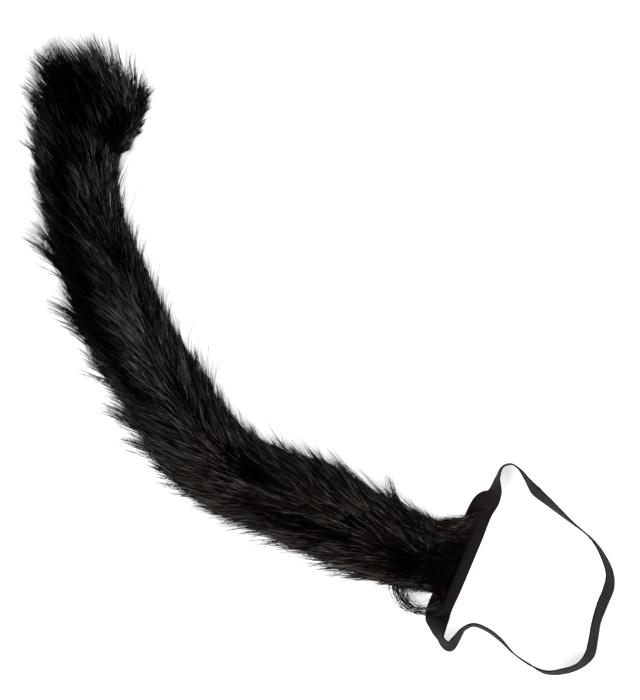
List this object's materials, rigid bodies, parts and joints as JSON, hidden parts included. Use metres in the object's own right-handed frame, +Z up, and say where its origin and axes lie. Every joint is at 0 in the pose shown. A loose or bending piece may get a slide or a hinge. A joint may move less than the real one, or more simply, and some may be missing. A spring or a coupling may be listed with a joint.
{
  "type": "costume animal tail",
  "caption": "Curved stuffed tail of long black faux fur, its flat end sewn on a closed loop of narrow black waist elastic, lying at rest.",
  "frame": {"origin": "middle of the underside of the sewn stretch of waist elastic, which lies flat under the tail's flattened end", "axes": "+Z up from the surface that the tail lies on, XY the surface, +X towards the open side of the waist loop, +Y towards the tail's tip"},
  "size_m": [0.5969, 0.6484, 0.0826],
  "materials": {
    "fur": "long-pile faux fur, black, soft sheen along the hair",
    "elastic": "woven waist elastic, black, matt with fine ribs across"
  },
  "bodies": {
    "root": {"waist_elastic": "elastic", "fur_tail": "fur"}
  },
  "joints": []
}
